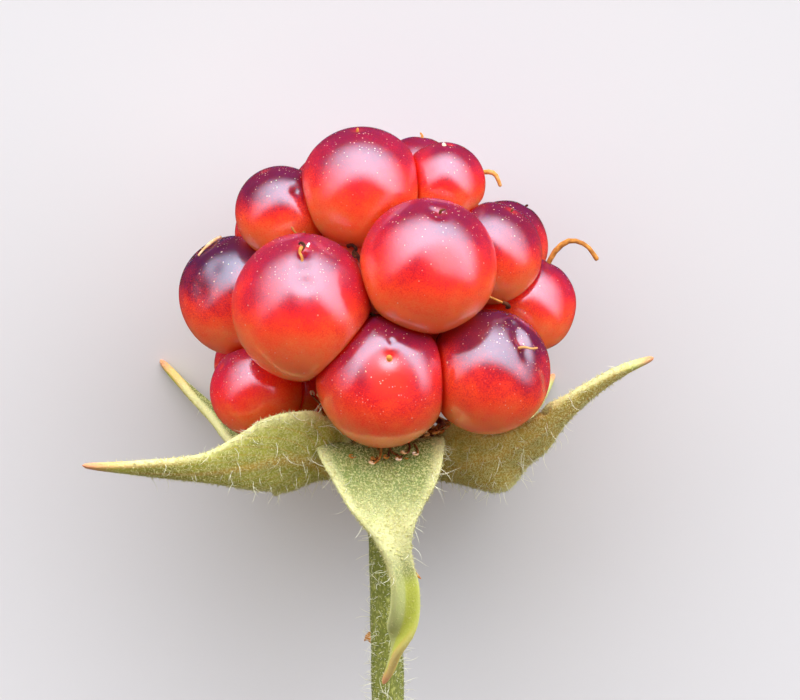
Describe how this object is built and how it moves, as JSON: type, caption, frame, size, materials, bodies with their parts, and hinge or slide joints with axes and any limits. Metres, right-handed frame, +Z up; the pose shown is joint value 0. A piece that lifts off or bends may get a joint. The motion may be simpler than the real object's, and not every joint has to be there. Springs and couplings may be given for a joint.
{
  "type": "unripe bramble fruit",
  "caption": "Unripe bramble fruit as picked, on its side: a red to purple head of glossy drupelets on a felted calyx with withered stamens and a hairy stalk.",
  "frame": {"origin": "middle of the small flat on the drupelet that the fruit lies on, on the surface under the head", "axes": "+Z up from the surface, +Y along the fruit's own axis from the stalk to the tip, +X to the right of the fruit seen from above with its tip away from the viewer"},
  "size_m": [0.0194, 0.023, 0.0123],
  "materials": {
    "drupelet_skin": "thin glossy fruit skin over translucent juice, red to dark purple",
    "felted_calyx": "pale grey-green leaf felted with short white hairs, cream along the margins",
    "dry_stamens": "withered brown threads with pale curled anthers",
    "green_stalk": "green stalk with long white hairs and small tan prickles"
  },
  "bodies": {
    "root": {"drupelets": "drupelet_skin", "calyx": "felted_calyx", "stamens": "dry_stamens", "pedicel": "green_stalk"}
  },
  "joints": []
}
